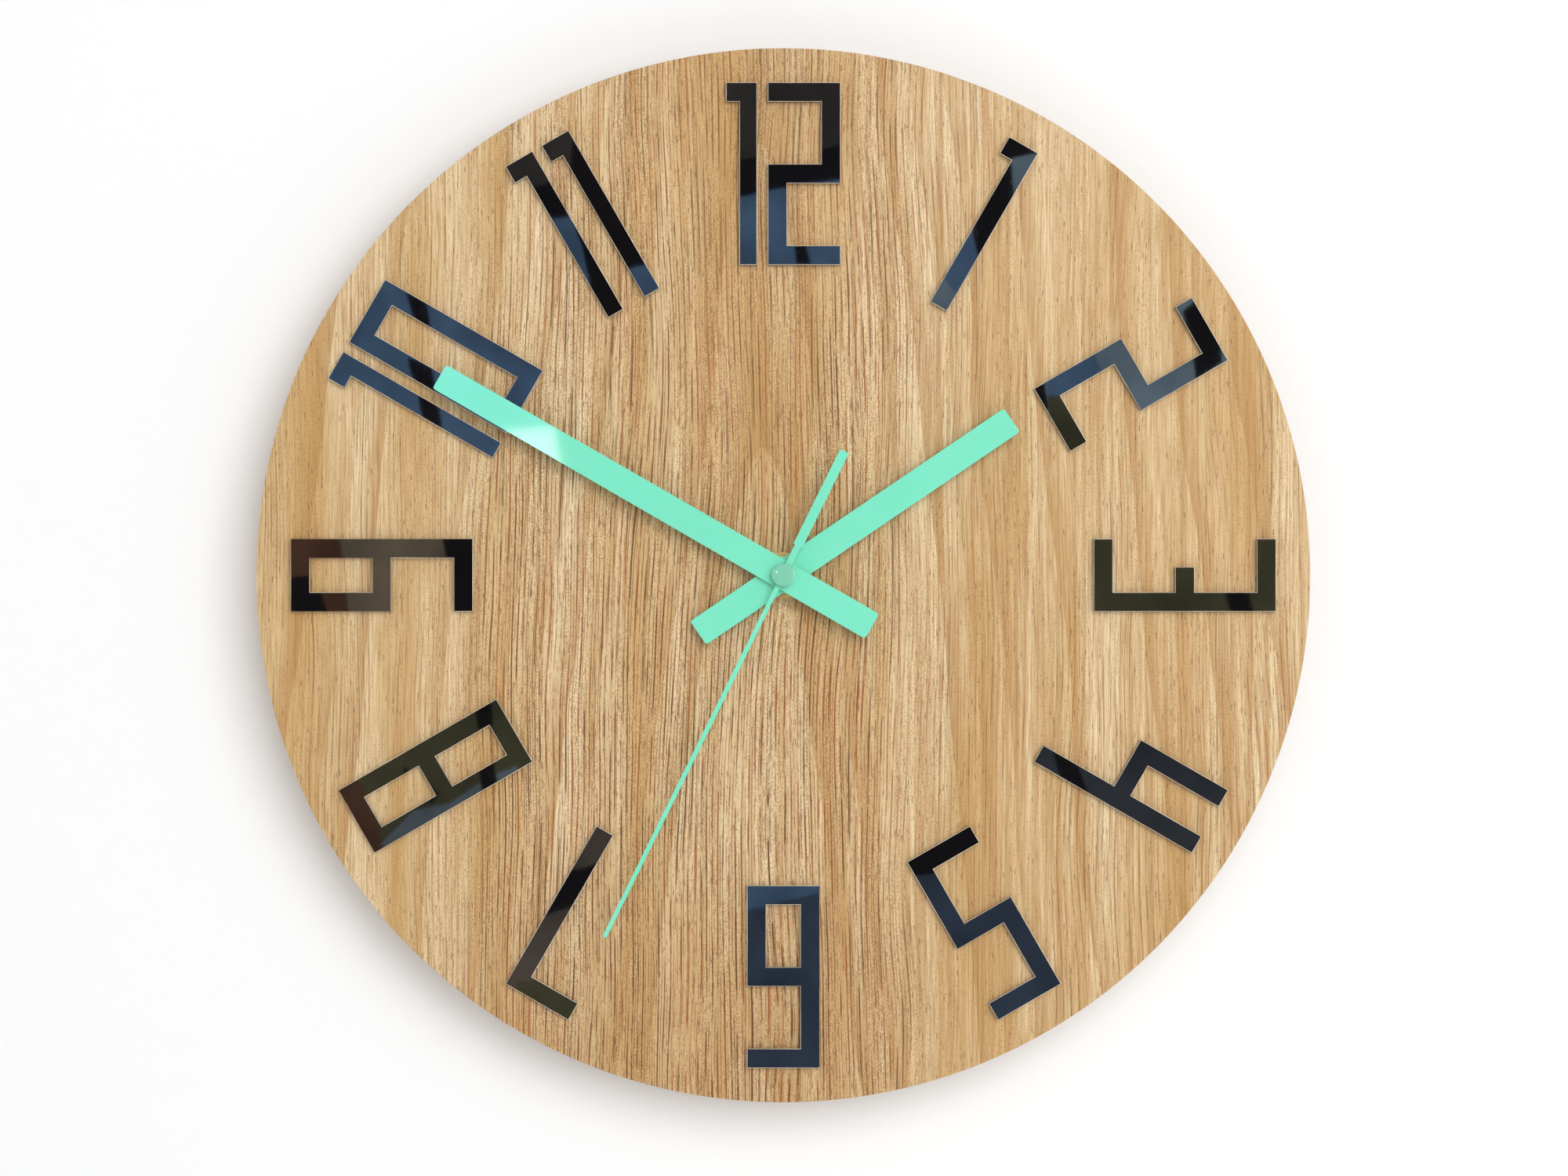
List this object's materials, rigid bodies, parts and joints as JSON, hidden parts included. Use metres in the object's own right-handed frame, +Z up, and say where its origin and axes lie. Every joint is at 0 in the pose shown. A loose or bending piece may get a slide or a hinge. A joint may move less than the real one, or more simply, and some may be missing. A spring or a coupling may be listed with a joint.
{
  "type": "wall clock",
  "caption": "Round oak wall clock with raised block numerals round the dial, straight coloured hands and a battery quartz movement on a steel hanger plate.",
  "frame": {"origin": "on the axis of the hands, where the flat back of the movement cover meets the wall", "axes": "+Z up, with 12 at the top; the dial faces -Y, the wall is the plane y = 0 and +Y points into it; +X is to the right as the dial is read"},
  "size_m": [0.33, 0.0334, 0.33],
  "materials": {
    "oak_face": "clear-sealed natural oak veneer, grain upright",
    "oak_back": "unsealed oak veneer",
    "plywood": "plywood core with a sanded edge",
    "numeral_black": "mirror-black cast sheet with laser-cut edges",
    "hand_mint": "mint green semi-gloss paint on aluminium",
    "cap_mint": "mint green paint on a turned cap",
    "brass": "turned brass, lightly tarnished",
    "rubber": "moulded rubber",
    "hanger_steel": "zinc-plated pressed steel",
    "case_black": "spark-textured moulding",
    "battery_jacket": "plain printed jacket with bare metal ends",
    "contact_nickel": "nickel-plated spring strip",
    "circuit_green": "solder-masked board",
    "chip_black": "epoxy-covered chip",
    "gear_white": "natural white acetal",
    "knob_white": "natural white acetal with a ribbed edge",
    "coil_copper": "enamelled copper wire",
    "stator_steel": "stamped soft iron sheet",
    "magnet_grey": "sintered magnet",
    "arbor_steel": "ground steel pin"
  },
  "bodies": {
    "clock": {"dial_board": "plywood", "oak_veneer": "oak_face", "back_veneer": "oak_back", "numeral_1": "numeral_black", "numeral_2": "numeral_black", "numeral_3": "numeral_black", "numeral_4": "numeral_black", "numeral_5": "numeral_black", "numeral_6": "numeral_black", "numeral_7": "numeral_black", "numeral_8": "numeral_black", "numeral_9": "numeral_black", "numeral_10_one": "numeral_black", "numeral_10_zero": "numeral_black", "numeral_11_left_one": "numeral_black", "numeral_11_right_one": "numeral_black", "numeral_12_one": "numeral_black", "numeral_12_two": "numeral_black", "brass_washer": "brass", "hex_nut": "brass", "threaded_bushing": "brass", "rubber_washer": "rubber", "hanger_plate": "hanger_steel", "front_case": "case_black", "rear_cover": "case_black", "positive_contact": "contact_nickel", "negative_contact": "contact_nickel", "circuit_board": "circuit_green", "clock_chip": "chip_black", "quartz_crystal": "contact_nickel", "coil_bobbin": "gear_white", "coil_winding": "coil_copper", "stator": "stator_steel"},
    "hours": {"hour_hand": "hand_mint", "hour_wheel": "gear_white"},
    "minutes": {"minute_hand": "hand_mint", "minute_tube": "gear_white", "minute_wheel": "gear_white"},
    "seconds": {"second_hand": "hand_mint", "second_hand_pipe": "brass", "second_hand_cap": "cap_mint", "seconds_arbor": "arbor_steel", "seconds_wheel": "gear_white"},
    "third": {"third_wheel": "gear_white"},
    "intermediate": {"intermediate_wheel": "gear_white"},
    "rotor": {"rotor_magnet": "magnet_grey", "rotor_pinion": "gear_white"},
    "motion": {"motion_wheel": "gear_white"},
    "setting": {"setting_pinion": "knob_white", "setting_knob": "knob_white"},
    "cell": {"battery": "battery_jacket"}
  },
  "joints": [
    {"name": "minute_turn", "type": "hinge", "parent": "clock", "child": "minutes", "pos_m": [0, 0, 0], "axis": [0, 1, 0], "continuous": true},
    {"name": "hour_turn", "type": "hinge", "parent": "clock", "child": "hours", "pos_m": [0, 0, 0], "axis": [0, 1, 0], "continuous": true},
    {"name": "second_turn", "type": "hinge", "parent": "clock", "child": "seconds", "pos_m": [0, 0, 0], "axis": [0, 1, 0], "continuous": true},
    {"name": "third_turn", "type": "hinge", "parent": "clock", "child": "third", "pos_m": [0.0085, 0, 0], "axis": [0, 1, 0], "continuous": true},
    {"name": "intermediate_turn", "type": "hinge", "parent": "clock", "child": "intermediate", "pos_m": [-0.00875, 0, 0], "axis": [0, 1, 0], "continuous": true},
    {"name": "rotor_turn", "type": "hinge", "parent": "clock", "child": "rotor", "pos_m": [-0.01439, 0, 0.00205], "axis": [0, 1, 0], "continuous": true},
    {"name": "motion_turn", "type": "hinge", "parent": "clock", "child": "motion", "pos_m": [0, 0, 0.009], "axis": [0, 1, 0], "continuous": true},
    {"name": "setting_turn", "type": "hinge", "parent": "clock", "child": "setting", "pos_m": [0.00779, 0, 0.0135], "axis": [0, 1, 0], "continuous": true},
    {"name": "cell_slide", "type": "slide", "parent": "clock", "child": "cell", "axis": [0, 1, 0], "range_m": [0, 0.016]}
  ],
  "couplings": [
    {"joint": "hour_turn", "follows": "minute_turn", "ratio": 0.083333},
    {"joint": "second_turn", "follows": "minute_turn", "ratio": 60},
    {"joint": "third_turn", "follows": "minute_turn", "ratio": -8},
    {"joint": "intermediate_turn", "follows": "minute_turn", "ratio": -360},
    {"joint": "rotor_turn", "follows": "minute_turn", "ratio": 1800},
    {"joint": "motion_turn", "follows": "minute_turn", "ratio": -0.33333},
    {"joint": "setting_turn", "follows": "minute_turn", "ratio": 1}
  ]
}
